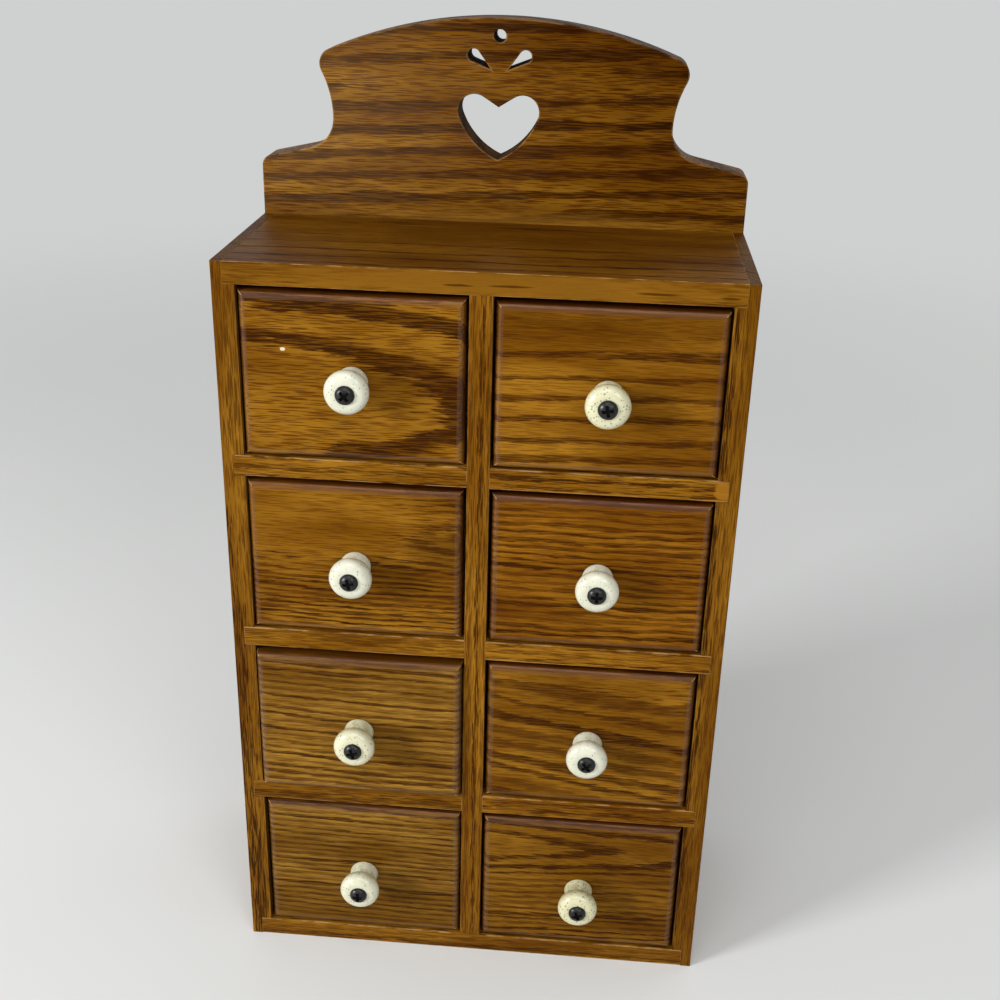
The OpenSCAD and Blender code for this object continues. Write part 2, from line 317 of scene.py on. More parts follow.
def growth_rings(g, solid, grain, seed):
    """The dark early wood of each ring, from 0 to 1, and the fibres that fray its edges."""
    u, v, w = g.split(solid)
    sway = g.swing(g.noise(solid, SWAY_SIZE, seed))
    across = g.math("MULTIPLY_ADD", u, -grain.slope[0], g.math("SUBTRACT", v, grain.pith[0]))
    across = g.math("MULTIPLY_ADD", sway, SWAY_GAIN * grain.sway, across)
    behind = g.math("MULTIPLY_ADD", u, grain.slope[1], g.math("ADD", w, grain.pith[1]))
    square = g.math("MULTIPLY_ADD", across, across, g.math("MULTIPLY", behind, behind))
    fibre = g.noise(solid, FIBRE_SIZE, seed + FIBRE_SHIFT, detail=3, roughness=0.6)
    reach = g.math("MULTIPLY_ADD", g.swing(fibre), FRAY_GAIN * grain.fray, g.math("SQRT", square))
    uneven = g.swing(g.noise(solid, UNEVEN_SIZE, seed + UNEVEN_SHIFT))
    ring = g.math("DIVIDE", g.math("SUBTRACT", reach, grain.start), grain.ring)
    ring = g.math("MULTIPLY_ADD", uneven, UNEVEN_GAIN, ring)

    # Each ring has its own width and strength
    share = g.math("FRACT", ring)
    order = g.math("FLOOR", ring)
    width = g.math("MULTIPLY_ADD", g.scatter(order, seed), WIDTH_GAIN * grain.vary, grain.wide)
    strength = g.math("MULTIPLY_ADD", g.scatter(order, seed + STRENGTH_SHIFT), -grain.vary, 1.0)
    rise = g.step(share, 0.0, RING_RISE)
    fall = g.step(share, g.math("MULTIPLY", width, RING_FALL), width, 1.0, 0.0)
    band = g.math("MULTIPLY", g.math("MULTIPLY", rise, fall), strength)
    if grain.calm:
        inside = g.blob(solid, grain.calm.centre, grain.calm.half)
        edge = g.math("MULTIPLY_ADD", g.swing(fibre), CALM_FRAY, inside)
        band = g.math("MULTIPLY", band, g.step(edge, *CALM_EDGE))
    return band, fibre


def wood(name, centre, axes, grain, stain, rub_and_highlight=0.0):
    """Solid wood: growth rings, open pores along the grain and darker end grain. axes names the board's
    own directions, along the grain, across its face and into it. rub_and_highlight is how far the stain
    is paled by rubbing and by a painted highlight."""
    g = Graph(name)
    parts = g.split(g.local(centre))
    solid = g.join(*(parts["XYZ".index(a)] for a in axes))
    seed = SEED_STEP * grain.seed
    band, fibre = growth_rings(g, solid, grain, seed)

    # Pores as thin dashes along the grain, longer and denser in the early wood
    away, _ = g.dots(solid, PORE_PITCH, seed + PORE_SHIFT)
    beyond = g.math("SUBTRACT", away, g.math("MULTIPLY_ADD", band, PORE_GROWTH, PORE_REACH))
    dash = g.step(beyond, -PORE_SOFT, 0.0, 1.0, 0.0)
    pore = g.math("MULTIPLY", dash, g.math("MAXIMUM", band, grain.pores))

    patch = g.noise(solid, PATCH_SIZE, seed + PATCH_SHIFT)
    colour = g.mix(g.step(patch, *PATCH_EDGE), linear(stain.mid), linear(stain.pale))
    colour = g.mix(g.step(fibre, *FIBRE_EDGE, 0.0, FIBRE_COVER), colour, linear(stain.mid))
    colour = g.mix(g.math("MULTIPLY", band, BAND_COVER * grain.dark), colour, linear(stain.band))
    ink = g.mix(band, linear(stain.line), linear(stain.pore))
    colour = g.mix(g.math("MULTIPLY", pore, PORE_COVER), colour, ink)

    # End grain drinks more stain
    normal = g.split(g.new("TexCoord").outputs["Normal"])["XYZ".index(axes[0])]
    end = g.step(g.math("ABSOLUTE", normal), *END_EDGE, 0.0, END_COVER)
    colour = g.mix(end, colour, linear(stain.pore))
    if grain.tone != 1.0:
        colour = g.vector("MULTIPLY", colour, [grain.tone] * 3)
    # Marks cover or tint the wood: stains, a chip and filler, and also painted shade, light and glare
    for mark in grain.marks:
        inside = g.blob(solid, mark.centre, mark.half)
        ragged = g.math("MULTIPLY_ADD", g.swing(fibre), MARK_FRAY, inside)
        cover = g.step(ragged, 1 - mark.soft, 1.0, mark.cover, 0.0)
        colour = g.mix(cover, colour, linear(mark.colour), mark.kind)
    # Pale patches where the stain is thinned by rubbing, and on eased edges and mitres also a painted
    # highlight
    if rub_and_highlight:
        rub_and_highlight_mask = g.noise(solid, RUB_SIZE, seed + RUB_SHIFT, detail=3)
        colour = g.mix(g.step(rub_and_highlight_mask, *RUB_EDGE, 0.0, rub_and_highlight), colour, linear(stain.rub_and_highlight))

    relief = g.math("MULTIPLY_ADD", band, BAND_RELIEF, g.math("MULTIPLY", fibre, FIBRE_RELIEF))
    g.bump(g.math("MULTIPLY_ADD", pore, PORE_RELIEF, relief), RELIEF_STRENGTH, RELIEF_DEPTH)
    rough = g.math("MULTIPLY_ADD", patch, PATCH_ROUGH, stain.rough + ROUGH_OFFSET)
    rough = g.math("MULTIPLY_ADD", pore, PORE_ROUGH, rough)
    return g.finish(Base_Color=colour, Roughness=rough, Specular_IOR_Level=stain.shine,
                    Specular_Tint=linear(stain.gloss), Coat_Weight=stain.coat,
                    Coat_Roughness=WOOD_COAT_ROUGH)


# Meshes

TOUCH = 0.01 * MM
MERGE = 0.001 * MM
FLAT_ANGLE = math.radians(0.5)
UPRIGHT = 0.1

# A piece's materials: its face first, then its pale edges, from rubbing and a painted highlight, then one
# of its own
RUBBED_AND_HIGHLIT_INDEX = 1
THIRD_INDEX = 2


def add_piece(name, mesh, node, slot, *materials):
    """A shown piece that stands for a CAD node and rides on the node's body."""
    obj = bpy.data.objects.new(name, mesh)
    bpy.context.scene.collection.objects.link(obj)
    for material in materials:
        mesh.materials.append(material)
    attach(obj, frame["nodes"][node]["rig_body"])
    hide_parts(node)
    return obj


def mesh_of(bm, name):
    """A mesh with the bmesh's shape, which is freed."""
    mesh = bpy.data.meshes.new(name)
    bm.to_mesh(mesh)
    bm.free()
    return mesh


def cad_copy(node):
    """The node's own shape as a bmesh with one face for each flat."""
    bm = bmesh.new()
    bm.from_mesh(frame["nodes"][node].data)
    bmesh.ops.remove_doubles(bm, verts=bm.verts, dist=MERGE)
    bmesh.ops.dissolve_limit(bm, angle_limit=FLAT_ANGLE, verts=bm.verts, edges=bm.edges)
    return bm


def ease(obj, width, segments, weight_of, sharp=30):
    """Rounds the convex edges, each by weight_of(edge) times width, with the new faces in the second
    material where there is one."""
    mesh = obj.data
    bm = bmesh.new()
    bm.from_mesh(mesh)
    layer = bm.edges.layers.float.new("bevel_weight_edge")
    for edge in bm.edges:
        convex = edge.is_manifold and edge.calc_face_angle_signed() > math.radians(sharp)
        edge[layer] = weight_of(edge) if convex else 0.0
    bm.to_mesh(mesh)
    bm.free()
    bevel = obj.modifiers.new("ease", "BEVEL")
    bevel.limit_method = "WEIGHT"
    bevel.width = width
    bevel.segments = segments
    bevel.material = min(RUBBED_AND_HIGHLIT_INDEX, len(mesh.materials) - 1)
    bevel.use_clamp_overlap = True
    return bevel


def smooth(obj):
    """Smooth shading that keeps flat faces flat."""
    obj.data.shade_smooth()
    obj.modifiers.new("flats", "WEIGHTED_NORMAL").keep_sharp = True


def centre_of(node):
    """The middle of the node's box."""
    low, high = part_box(node)
    return (low + high) / 2


# The eased arrises are paled by rubbing and by a painted highlight along them
ARRIS_WEAR_AND_HIGHLIGHT = 0.6
ARRIS_STEPS = 3
JOINT_LENGTH = 12 * MM
JOINT_WEIGHT = 0.4


def arris_weight(edge):
    """Long edges are eased in full; short ones, at the joints, only a little."""
    return 1.0 if edge.calc_length() > JOINT_LENGTH else JOINT_WEIGHT


def add_board(node, axes, grain, stain, slot, arris, weight_of=arris_weight, wear_and_highlight=ARRIS_WEAR_AND_HIGHLIGHT):
    """A CAD board with eased arrises, paled by rubbing and a painted highlight, and its own grain."""
    mesh = mesh_of(cad_copy(node), node + "_piece")
    centre = centre_of(node)
    face = wood(node + "_face", centre, axes, grain, stain)
    rubbed_and_highlit = wood(node + "_arris", centre, axes, grain, stain, wear_and_highlight)
    obj = add_piece(node + "_piece", mesh, node, slot, face, rubbed_and_highlit)
    ease(obj, arris, ARRIS_STEPS, weight_of)
    smooth(obj)
    return obj


def cells(xs, ys, zs, filled):
    """A bmesh of boxes between the given cuts, with no faces between two filled boxes."""
    bm = bmesh.new()
    made = {}

    def vert(i, j, k):
        if (i, j, k) not in made:
            made[i, j, k] = bm.verts.new((xs[i], ys[j], zs[k]))
        return made[i, j, k]

    sizes = (len(xs) - 1, len(ys) - 1, len(zs) - 1)

    def full(cell):
        return all(0 <= c < n for c, n in zip(cell, sizes)) and filled(*cell)

    for cell in itertools.product(*(range(n) for n in sizes)):
        if not full(cell):
            continue
        for axis in range(3):
            for side in (0, 1):
                beyond = list(cell)
                beyond[axis] += 2 * side - 1
                if full(tuple(beyond)):
                    continue
                p, q = [a for a in range(3) if a != axis]
                ring = []
                for dp, dq in ((0, 0), (1, 0), (1, 1), (0, 1)):
                    corner = list(cell)
                    corner[axis] += side
                    corner[p] += dp
                    corner[q] += dq
                    ring.append(vert(*corner))
                bm.faces.new(ring)
    bmesh.ops.recalc_face_normals(bm, faces=bm.faces)
    bmesh.ops.dissolve_limit(bm, angle_limit=FLAT_ANGLE, verts=bm.verts, edges=bm.edges)
    return bm


# Drawers

EDGE_R = 3.5 * MM
EDGE_STEPS = 8
MITRE_EASE = 0.25 * MM
MITRE_STEPS = 2
MITRE_ANGLE = math.radians(35)
# The mitres' eased ridges are painted pale: rubbing, and a painted highlight where they catch the light
MITRE_WEAR_AND_HIGHLIGHT = 0.9
# The rounded edges are darker than the face: stain that pools there, and painted shade
EDGE_STAIN_AND_SHADE_TONE = 0.8
EDGE_ROUGH = 0.3
EDGE_SHINE = 0.6
EDGE_GLOSS = "#ffcaae"
# Painted shade: a darker strip along each front's top edge, where the rail above shades it
TOP_EDGE_PAINTED_SHADE = Spot((0, 38, 0), (140, 4, 60), "#b49a88", 1.0, 0.8, "MULTIPLY")
FRONT_STAIN = {
    "drawer_2_right": RUSSET_STAIN,
    "drawer_3_left": OLIVE_STAIN,
    "drawer_4_left": OLIVE_STAIN,
}
CHIP = Spot((-30, 12.5, 0), (1.2, 0.9, 4), "#e0cfb2")
DARK_TOP = Spot((0, 40, 0), (95, 24, 60), "#c8bca0", 0.9, 0.6, "MULTIPLY")
DARK_TONGUE = Spot((46, 8, 0), (26, 13, 60), "#3c1f02", 0.55, 0.5)
FRONT_GRAIN = {
    "drawer_1_left": Grain((-11, 22), (0, 0.2), ring=15, start=29.2, wide=0.45, vary=0.1, sway=2, fray=2,
                           pores=0.85, tone=0.92, calm=Spot((-49, -11, 0), (55, 22, 60)), marks=(CHIP,),
                           seed=1),
    "drawer_1_right": Grain((-120, 20), (0.03, 0), ring=9.4, start=117, wide=0.35, vary=0.25, sway=3,
                            fray=1.2, calm=Spot((-5, 34, 0), (75, 15, 60)), marks=(DARK_TOP,), seed=2),
    "drawer_2_left": Grain((14, 12), (0, -0.06), ring=2.6, sway=2, fray=0.8, pores=0.6, tone=0.98,
                           calm=Spot((-22, 24, 0), (55, 28, 60)), marks=(DARK_TONGUE,), seed=3),
    "drawer_2_right": Grain((-90, 20), ring=3.6, sway=4, fray=0.9, tone=0.94, seed=4),
    "drawer_3_left": Grain((-200, 20), (-0.03, 0), ring=3.7, sway=2, fray=0.9, tone=1.1, seed=5),
    "drawer_3_right": Grain((40, 30), (-0.2, 0.05), ring=6.5, sway=3, fray=1.5, tone=0.9, seed=6),
    "drawer_4_left": Grain((-150, 20), (-0.02, 0), ring=3.2, sway=2, fray=0.8, dark=0.9, seed=7),
    "drawer_4_right": Grain((22, 14), (0.02, 0.05), ring=3.4, sway=3, fray=0.9, tone=0.78, seed=8),
}


def add_front(drawer):
    """A drawer front with mitred, rounded front edges and rebates for the drawer's sides."""
    node = drawer + "_front"
    low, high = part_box(node)
    sides_low, sides_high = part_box(drawer + "_sides")
    back_low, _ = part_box(drawer + "_back")
    joint_y = sides_low.y
    wall = (back_low.x - low.x) + (high.y - joint_y)
    bm = cells(
        (low.x, low.x + wall, high.x - wall, high.x),
        (low.y, joint_y, high.y),
        (low.z, sides_high.z, high.z),
        lambda i, j, k: not (i != 1 and j == 1 and k == 0),
    )
    mesh = mesh_of(bm, node + "_piece")
    grain = FRONT_GRAIN[drawer]
    # Every front gets the painted shade along its top edge
    grain = replace(grain, marks=(*grain.marks, TOP_EDGE_PAINTED_SHADE))
    stain = FRONT_STAIN.get(drawer, OAK_STAIN)
    centre = Vector(((low.x + high.x) / 2, low.y, (low.z + high.z) / 2))
    face = wood(node + "_face", centre, "XZY", grain, stain)
    # The mitre material paints the mitres' ridges pale, as rubbing and as a painted highlight
    rubbed_and_highlit = wood(node + "_mitre", centre, "XZY", grain, stain, MITRE_WEAR_AND_HIGHLIGHT)
    # The rounded edges take a darker copy of the face's wood: pooled stain and painted shade
    moulded = wood(node + "_edge", centre, "XZY", replace(grain, tone=EDGE_STAIN_AND_SHADE_TONE * grain.tone),
                   replace(stain, rough=EDGE_ROUGH, shine=EDGE_SHINE, gloss=EDGE_GLOSS))
    obj = add_piece(node + "_piece", mesh, node, "front_oak", face, rubbed_and_highlit, moulded)

    def face_weight(edge):
        """Only the edges of the front's face are rounded."""
        return float(all(v.co.y - low.y < TOUCH for v in edge.verts))

    round_over = ease(obj, EDGE_R, EDGE_STEPS, face_weight)
    round_over.material = THIRD_INDEX
    mitre = obj.modifiers.new("mitre", "BEVEL")
    mitre.limit_method = "ANGLE"
    mitre.angle_limit = MITRE_ANGLE
    mitre.width = MITRE_EASE
    mitre.segments = MITRE_STEPS
    mitre.material = RUBBED_AND_HIGHLIT_INDEX
    smooth(obj)


def lathe(profile, segments):
    """A bmesh turned about Y from (radius, y) points, closed at both ends."""
    bm = bmesh.new()
    rings = []
    for radius, y in profile:
        turns = [2 * math.pi * i / segments for i in range(segments)]
        rings.append([bm.verts.new((radius * math.cos(t), y, radius * math.sin(t))) for t in turns])
    for a, b in zip(rings, rings[1:]):
        for i in range(segments):
            j = (i + 1) % segments
            bm.faces.new((a[i], a[j], b[j], b[i]))
    bm.faces.new(rings[0])
    bm.faces.new(rings[-1])
    bmesh.ops.recalc_face_normals(bm, faces=bm.faces)
    return bm


KNOB_FOOT_R = 7.1 * MM
KNOB_NECK_R = 5.8 * MM
KNOB_FACE_R = 5.4 * MM
KNOB_NECK_AT = 8 * MM
KNOB_HEAD_AT = 13.3 * MM
KNOB_STEPS = 14
KNOB_SEGMENTS = 64


def knob_profile(head_r, height):
    """Radius and distance from the drawer: a waisted foot, then a domed head with a flat middle."""
    points = []
    for i in range(KNOB_STEPS + 1):
        share = i / KNOB_STEPS
        flare = (1 + math.cos(math.pi * share)) / 2
        points.append((KNOB_NECK_R + (KNOB_FOOT_R - KNOB_NECK_R) * flare, KNOB_NECK_AT * share))
    for i in range(1, KNOB_STEPS + 1):
        turn = math.pi / 2 * i / KNOB_STEPS
        points.append((KNOB_NECK_R + (head_r - KNOB_NECK_R) * math.sin(turn),
                       KNOB_NECK_AT + (KNOB_HEAD_AT - KNOB_NECK_AT) * (1 - math.cos(turn))))
    for i in range(1, KNOB_STEPS + 1):
        turn = math.pi / 2 * i / KNOB_STEPS
        points.append((KNOB_FACE_R + (head_r - KNOB_FACE_R) * math.cos(turn),
                       KNOB_HEAD_AT + (height - KNOB_HEAD_AT) * math.sin(turn)))
    return points


GLAZE_DULL = "#cdcebc"
GLAZE_WHITE = "#d9dacb"
GLAZE_AGED = "#d0cba2"
GLAZE_ROUGH = 0.22
GLAZE_COAT = 0.3
GLAZE_COAT_ROUGH = 0.1
CLOUD_SIZE = (7, 7, 7)
CLOUD_EDGE = (0.3, 0.7)
SPECK_COLOUR = "#555a45"
SPECK_PITCH = 1.2
SPECK_SPREAD = 0.4
SPECK_OFFSET = -0.1
SPECK_AGEING = 0.16
SPECK_EDGE = (-0.1, 0.04)
SPECK_COVER = 0.65
GRIME_COLOUR = "#7f7a4e"
GRIME_FROM = 0.5
GRIME_WIDE = 9
GRIME_LEAST = 0.5
GRIME_AGEING = 0.5
SMEAR_SIZE = (3, 3, 3)
SMEAR_EDGE = (0.4, 0.65)
SMEAR_LEAST = 0.1
SMEAR_AGEING = 0.2
SMEAR_MOST = 0.9
DIMPLE_SIZE = (3, 3, 3)
DIMPLE_SHIFT = 2
DIMPLE_STRENGTH = 0.15
DIMPLE_DEPTH = 0.1 * MM
SHIFT_PER_METRE = 100
FRESH_AGE = 0.2
GLAZE_AGE = {"drawer_1_right": 0.8, "drawer_3_left": 0.65, "drawer_4_left": 0.4, "drawer_4_right": 0.9}


def glaze(name, centre, age):
    """Cream glaze with dark specks, yellowed and specked more with age, and grime round the neck."""
    g = Graph(name)
    point = g.local(centre)
    shift = SHIFT_PER_METRE * (centre.x + centre.z)
    cloud = g.noise(point, CLOUD_SIZE, age)
    white = g.mix(g.step(cloud, *CLOUD_EDGE), linear(GLAZE_DULL), linear(GLAZE_WHITE))
    colour = g.mix(age, white, linear(GLAZE_AGED))
    away, luck = g.dots(point, [SPECK_PITCH] * 3, shift)
    size = g.math("MULTIPLY_ADD", luck, SPECK_SPREAD, SPECK_AGEING * age + SPECK_OFFSET)
    speck = g.step(g.math("SUBTRACT", away, size), *SPECK_EDGE, SPECK_COVER, 0.0)
    colour = g.mix(speck, colour, linear(SPECK_COLOUR))

    # Grime is thickest at the neck, and smeared
    from_neck = g.math("ABSOLUTE", g.math("ADD", g.split(point)[1], KNOB_NECK_AT / MM))
    smear = g.noise(point, SMEAR_SIZE, shift, detail=3)
    smear = g.step(smear, *SMEAR_EDGE, SMEAR_LEAST + SMEAR_AGEING * age, SMEAR_MOST)
    near = g.step(from_neck, GRIME_FROM, GRIME_WIDE, GRIME_LEAST + GRIME_AGEING * age, 0.0)
    colour = g.mix(g.math("MULTIPLY", near, smear), colour, linear(GRIME_COLOUR))
    g.bump(g.noise(point, DIMPLE_SIZE, DIMPLE_SHIFT), DIMPLE_STRENGTH, DIMPLE_DEPTH)
    return g.finish(Base_Color=colour, Roughness=GLAZE_ROUGH, Coat_Weight=GLAZE_COAT,
                    Coat_Roughness=GLAZE_COAT_ROUGH)


def add_knob(drawer):
    """A turned knob in the place and size of its CAD node."""
    node = drawer + "_knob"
    low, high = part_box(node)
    centre = Vector(((low.x + high.x) / 2, high.y, (low.z + high.z) / 2))
    profile = knob_profile((high.x - low.x) / 2, high.y - low.y)
    bm = lathe([(r, -y) for r, y in profile], KNOB_SEGMENTS)
    bmesh.ops.translate(bm, verts=bm.verts, vec=centre)
    mesh = mesh_of(bm, node + "_piece")
    obj = add_piece(node + "_piece", mesh, node, "glaze",
                    glaze(node + "_glaze", centre, GLAZE_AGE.get(drawer, FRESH_AGE)))
    smooth(obj)


ORIGIN = (0, 0, 0)
SCUFF_SHIFT = 3
BLACK_SCUFF_SIZE = (0.9, 0.9, 0.9)
BLACK_SCUFF_EDGE = (0.4, 0.7)
BLACK_ROUGH = (0.26, 0.42)
BRIGHT_SCUFF_SIZE = (0.8, 0.8, 0.8)
BRIGHT_SCUFF_EDGE = (0.35, 0.7)
BRIGHT_ROUGH = (0.3, 0.5)
ROUGH_EDGE = (0.3, 0.7)
SCUFF_STRENGTH = 0.1
SCUFF_DEPTH = 0.05 * MM


def black_steel(name, dark, light, shine):
    """Black oxide with faint scuffs."""
    g = Graph(name)
    scuff = g.noise(g.local(ORIGIN), BLACK_SCUFF_SIZE, SCUFF_SHIFT, detail=3)
    colour = g.mix(g.step(scuff, *BLACK_SCUFF_EDGE), linear(dark), linear(light))
    g.bump(scuff, SCUFF_STRENGTH, SCUFF_DEPTH)
    rough = g.step(scuff, *ROUGH_EDGE, *BLACK_ROUGH)
    return g.finish(Base_Color=colour, Roughness=rough, Specular_IOR_Level=shine)


def bright_steel(name, dark, light):
    """Bright zinc with faint scuffs."""
    g = Graph(name)
    scuff = g.noise(g.local(ORIGIN), BRIGHT_SCUFF_SIZE, SCUFF_SHIFT, detail=3)
    colour = g.mix(g.step(scuff, *BRIGHT_SCUFF_EDGE), linear(dark), linear(light))
    rough = g.step(scuff, *ROUGH_EDGE, *BRIGHT_ROUGH)
    return g.finish(Base_Color=colour, Roughness=rough, Metallic=1.0)


SCREW_HEAD = black_steel("screw_head", "#0c0c0b", "#171715", 0.35)
# The eased rim round the recess is paler: rubbing, and a painted highlight
SCREW_RUBBED_AND_HIGHLIT = black_steel("screw_rubbed_and_highlit", "#2a2825", "#47443f", 0.4)
# Painted shade: the cross recess is blacker and duller than the head
SCREW_RECESS_PAINTED_SHADE = black_steel("screw_recess_painted_shade", "#030303", "#070706", 0.1)
BRIGHT_STEEL = bright_steel("bright_steel", "#8d8a84", "#b9b6ae")
SCREW_EASE = 0.12 * MM
FASTENER_EASE = 0.1 * MM
FASTENER_STEPS = 2
FASTENER_SHARP = 40


def add_fastener(node, material, slot, arris):
    """Brads or screws in their CAD shape, with eased edges."""
    mesh = mesh_of(cad_copy(node), node + "_piece")
    obj = add_piece(node + "_piece", mesh, node, slot, material)
    ease(obj, arris, FASTENER_STEPS, lambda e: 1.0, FASTENER_SHARP)
    smooth(obj)


SCREW_HEAD_H = 2.6 * MM
RECESS_R = 2.8 * MM
LEVEL = 0.99


def add_screw(drawer):
    """A black pan-head screw with a pale rim round its cross recess; the rim is rubbing and a painted
    highlight, and the recess a painted shade.
    """
    node = drawer + "_screw"
    low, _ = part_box(node)
    axis = centre_of(node)
    bm = cad_copy(node)
    bm.normal_update()
    # Faces of the cross recess take the painted shade
    for face in bm.faces:
        reach = max(math.hypot(v.co.x - axis.x, v.co.z - axis.z) for v in face.verts)
        in_head = face.calc_center_median().y < low.y + SCREW_HEAD_H
        facing = abs(face.normal.y)
        squared = facing < UPRIGHT or facing > LEVEL
        face.material_index = THIRD_INDEX if in_head and squared and reach < RECESS_R else 0
    mesh = mesh_of(bm, node + "_piece")
    obj = add_piece(node + "_piece", mesh, node, "black_steel", SCREW_HEAD, SCREW_RUBBED_AND_HIGHLIT, SCREW_RECESS_PAINTED_SHADE)
    ease(obj, SCREW_EASE, FASTENER_STEPS, lambda e: 1.0, FASTENER_SHARP)
    smooth(obj)


BOX_ARRIS = 0.3 * MM
PANEL_ARRIS = 0.2 * MM
SIDES_GRAIN = Grain((-60, 30), ring=5, dark=0.55, seed=20)
BACK_GRAIN = Grain((-40, 30), ring=5, dark=0.55, seed=40)
BOTTOM_GRAIN = Grain((20, 40), ring=9, dark=0.55, seed=60)


def add_drawer(drawer, order):
    """One drawer's pieces. order gives its box a grain of its own."""
    add_front(drawer)
    add_knob(drawer)
    add_screw(drawer)
    sides, back, bottom = (replace(grain, seed=grain.seed + order)
                           for grain in (SIDES_GRAIN, BACK_GRAIN, BOTTOM_GRAIN))
    add_board(drawer + "_sides", "YZX", sides, BARE_STAIN, "drawer_wood", BOX_ARRIS)
    add_board(drawer + "_back", "XZY", back, BARE_STAIN, "drawer_wood", BOX_ARRIS)
    add_board(drawer + "_bottom", "XYZ", bottom, PLY_STAIN, "panel_wood", PANEL_ARRIS)


for order, drawer in enumerate(f"drawer_{row}_{column}" for row in ROWS for column in COLUMNS):
    add_drawer(drawer, order)


# Case

CASE_ARRIS = 0.6 * MM
FILLER = Spot((50, -55, 88), (4.5, 4, 4.5), "#94621a")
# A paler band along the top board's front edge: rubbing, and a painted highlight along its arris
RUBBED_AND_HIGHLIT_EDGE = Spot((0, -57, 0), (150, 4, 9), "#94661c", 0.45, 0.6)
EDGE_DASHES = tuple(Spot((x, -57, z), (half, 3, 0.7), "#3e1d01", 0.8, 0.5)
                    for x, z, half in ((-10, -1, 7), (12, -0.5, 10), (74, -1, 11), (103, -1.5, 5)))
CASE_BOARDS = {
    "left_side": ("ZYX", Grain((60, 30), (0.01, 0), ring=4.2, dark=0.5, pores=0.65, tone=0.88, seed=91)),
    "right_side": ("ZYX", Grain((-70, 30), (0.01, 0), dark=0.5, pores=0.65, tone=0.88, seed=92)),
    "centre_divider": ("ZYX", Grain((-60, 25), ring=3.6, sway=2, dark=0.45, pores=0.65, seed=93)),
    "top_board": ("XYZ", Grain((30, -40), (0.02, 0), ring=11, wide=0.12, vary=0.2, sway=2, fray=0.6,
                               dark=0.8, tone=0.64, marks=(RUBBED_AND_HIGHLIT_EDGE, *EDGE_DASHES), seed=94)),
    "bottom_board": ("XYZ", Grain((-40, 40), dark=0.7, pores=0.6, tone=0.9, seed=95)),
    "left_shelves": ("XYZ", Grain((50, 40), dark=0.5, pores=0.65, tone=0.95, seed=96)),
    "right_shelves": ("XYZ", Grain((-50, 40), dark=0.5, pores=0.65, tone=1.05, marks=(FILLER,),
                                   seed=97)),
}
CASE_STAIN = {"top_board": RUSSET_STAIN}
PANEL_GRAIN = Grain((20, 60), ring=9, sway=6, dark=0.5, seed=98)

for node, (axes, grain) in CASE_BOARDS.items():
    add_board(node, axes, grain, CASE_STAIN.get(node, OAK_STAIN), "case_oak", CASE_ARRIS)
add_board("back_panel", "ZXY", PANEL_GRAIN, PLY_STAIN, "panel_wood", PANEL_ARRIS)
for node in ("back_panel_brads", "crest_screws"):
    add_fastener(node, BRIGHT_STEEL, "bright_steel", FASTENER_EASE)

CREST_EASE = 1.4 * MM
CREST_BACK_WEIGHT = 0.4
CREST_WEAR = 0.25
# Painted shade: the crest's right half is tinted darker, as the light falls off from left to right
CREST_RIGHT_PAINTED_SHADE = Spot((100, 30, 0), (140, 120, 90), "#b4a47c", 1.0, 1.0, "MULTIPLY")
# A darker tint towards the crest's top and over its ears; at the right ear it deepens the painted shade
CREST_TOP = Spot((25, 36, 0), (150, 30, 90), "#ccbe9c", 1.0, 0.8, "MULTIPLY")
# Painted reflection: a pale grey veil over the crest's left part, as glare from the bright side
CREST_LEFT_PAINTED_GLARE = Spot((-90, 0, 0), (130, 90, 90), "#9c8a6c", 0.1, 1.0)
# Painted light: a paler golden band along the crest's foot, as light bounced up from the top board
CREST_FOOT_PAINTED_LIGHT = Spot((0, -46, 0), (140, 9, 90), "#a5752a", 0.35, 0.8)
CREST_CALM = Spot((0, 19, 0), (95, 8, 90))
CREST_GRAIN = Grain((124, 30), (0.05, 0), ring=10.6, start=135.7, wide=0.42, vary=0.2, sway=3, fray=0.6,
                    pores=0.9, tone=0.96, calm=CREST_CALM,
                    marks=(CREST_RIGHT_PAINTED_SHADE, CREST_TOP, CREST_LEFT_PAINTED_GLARE, CREST_FOOT_PAINTED_LIGHT), seed=99)
CUT_OUTS_HALF_WIDTH = 25 * MM
CUT_OUTS_TOP_MARGIN = 4.5 * MM
CUT_OUTS_FOOT_MARGIN = 5 * MM


def crest_weight(edge):
    """The crest's front outline is rounded most, its back less, and its foot not at all."""
    low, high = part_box("crest_board")
    ends = [v.co for v in edge.verts]
    if all(p.z - low.z < TOUCH for p in ends):
        return 0.0
    if all(p.y - low.y < TOUCH for p in ends):
        return 1.0
    return CREST_BACK_WEIGHT if all(high.y - p.y < TOUCH for p in ends) else 0.0


def add_crest():
    """The crest board, with rough sawn walls in its cut-outs."""
    node = "crest_board"
    low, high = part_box(node)
    axes = "XZY"
    crest = add_board(node, axes, CREST_GRAIN, OAK_STAIN, "crest_oak", CREST_EASE, crest_weight,
                      CREST_WEAR)
    crest.data.materials.append(wood(node + "_sawn", centre_of(node), axes, CREST_GRAIN, SAWN_STAIN))
    for face in crest.data.polygons:
        near = abs(face.center.x) < CUT_OUTS_HALF_WIDTH
        inside = low.z + CUT_OUTS_FOOT_MARGIN < face.center.z < high.z - CUT_OUTS_TOP_MARGIN
        if near and inside and abs(face.normal.y) < UPRIGHT:
            face.material_index = THIRD_INDEX


add_crest()


# Stage, light and camera

FLOOR_SIZE = 12.0
FLOOR_COLOURS = ("#e2e4e3", "#e6e7e6")
FLOOR_CLOUD_SIZE = (300, 300, 300)
FLOOR_SHIFT = 4
FLOOR_ROUGH = 0.7
BACKDROP_COLOUR = "#cfd1d0"
FADE_FROM_MM = 500
FADE_TO_MM = 1800


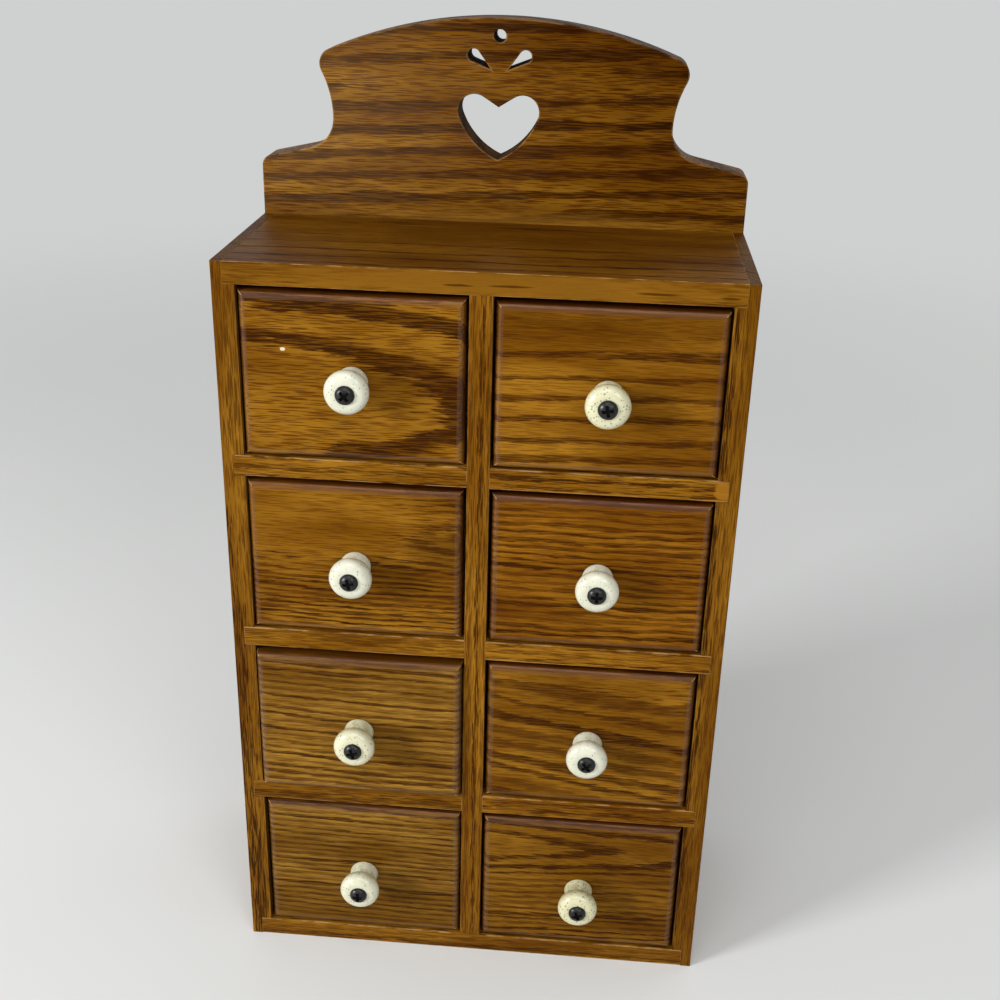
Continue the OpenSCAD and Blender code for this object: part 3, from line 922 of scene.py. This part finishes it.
def add_floor():
    """A pale floor that takes shadows near the cabinet and fades to the backdrop's colour far off."""
    mesh = bpy.data.meshes.new("floor")
    corners = [(x * FLOOR_SIZE, y * FLOOR_SIZE, 0.0) for x, y in ((-1, -1), (1, -1), (1, 1), (-1, 1))]
    mesh.from_pydata(corners, [], [(0, 1, 2, 3)])
    floor = bpy.data.objects.new("floor", mesh)
    bpy.context.scene.collection.objects.link(floor)
    g = Graph("floor")
    point = g.local(ORIGIN)
    cloud = g.noise(point, FLOOR_CLOUD_SIZE, FLOOR_SHIFT)
    lit = g.mix(cloud, *(linear(c) for c in FLOOR_COLOURS))
    far = g.step(g.length(point), FADE_FROM_MM, FADE_TO_MM)
    path = g.new("LightPath").outputs
    direct = g.math("MAXIMUM", path["Is Camera Ray"], path["Is Glossy Ray"])
    seen = g.math("MULTIPLY", far, g.math("MAXIMUM", direct, path["Is Transmission Ray"]))
    glow = g.new("Emission")
    g.put(glow.inputs["Color"], linear(BACKDROP_COLOUR))
    both = g.new("MixShader")
    g.put(both.inputs[0], seen)
    g.put(both.inputs[1], g.shader.outputs[0])
    g.put(both.inputs[2], glow.outputs[0])
    g.put(g.tree.nodes["Material Output"].inputs["Surface"], both.outputs[0])
    mesh.materials.append(g.finish(Base_Color=lit, Roughness=FLOOR_ROUGH))


OBJECT_MIDDLE = (0.0, 0.0, 0.22)
AMBIENT = 0.38

# Lamps, with places and sizes in metres
LAMPS = {
    "key": {"place": (-1.6, -1.15, 0.75), "size": 0.5, "watts": 34},
    "fill": {"place": (0.9, -1.5, 1.2), "size": 0.7, "watts": 7},
    "top": {"place": (-0.1, -1.0, 1.7), "size": 1.0, "watts": 9},
    "back": {"place": (1.7, 1.1, 0.5), "size": 1.2, "watts": 7},
}


def add_area(name, place, size, watts):
    """A square lamp turned to the middle of the cabinet."""
    data = bpy.data.lights.new(name, "AREA")
    data.size = size
    data.energy = watts
    lamp = bpy.data.objects.new(name, data)
    bpy.context.scene.collection.objects.link(lamp)
    lamp.location = place
    aim = Vector(OBJECT_MIDDLE) - Vector(place)
    lamp.rotation_euler = aim.to_track_quat("-Z", "Y").to_euler()


def add_world(ambient, backdrop):
    """An even dim light all round, with a pale backdrop where the camera or a reflection sees it."""
    world = bpy.data.worlds.new("studio")
    bpy.context.scene.world = world
    world.use_nodes = True
    nodes, links = world.node_tree.nodes, world.node_tree.links
    nodes.clear()
    path = nodes.new("ShaderNodeLightPath")
    seen = nodes.new("ShaderNodeMath")
    seen.operation = "MAXIMUM"
    links.new(path.outputs["Is Camera Ray"], seen.inputs[0])
    links.new(path.outputs["Is Glossy Ray"], seen.inputs[1])
    through = nodes.new("ShaderNodeMath")
    through.operation = "MAXIMUM"
    links.new(seen.outputs[0], through.inputs[0])
    links.new(path.outputs["Is Transmission Ray"], through.inputs[1])
    fill = nodes.new("ShaderNodeBackground")
    fill.inputs["Color"].default_value = (1, 1, 1, 1)
    fill.inputs["Strength"].default_value = ambient
    back = nodes.new("ShaderNodeBackground")
    back.inputs["Color"].default_value = linear(backdrop)
    both = nodes.new("ShaderNodeMixShader")
    links.new(through.outputs[0], both.inputs["Fac"])
    links.new(fill.outputs[0], both.inputs[1])
    links.new(back.outputs[0], both.inputs[2])
    out = nodes.new("ShaderNodeOutputWorld")
    links.new(both.outputs[0], out.inputs["Surface"])


CAMERA_AT = (0.05003, -0.59459, 0.49941)
CAMERA_TURN = (65.909, -1.368, 4.870)
CAMERA_LENS = 47.815


def add_camera():
    data = bpy.data.cameras.new("camera")
    data.lens = CAMERA_LENS
    camera = bpy.data.objects.new("camera", data)
    bpy.context.scene.collection.objects.link(camera)
    camera.location = CAMERA_AT
    camera.rotation_euler = [math.radians(a) for a in CAMERA_TURN]
    bpy.context.scene.camera = camera


add_floor()
add_world(AMBIENT, BACKDROP_COLOUR)
for name, lamp in LAMPS.items():
    add_area(name, **lamp)
add_camera()
bpy.context.scene.view_settings.view_transform = "Standard"
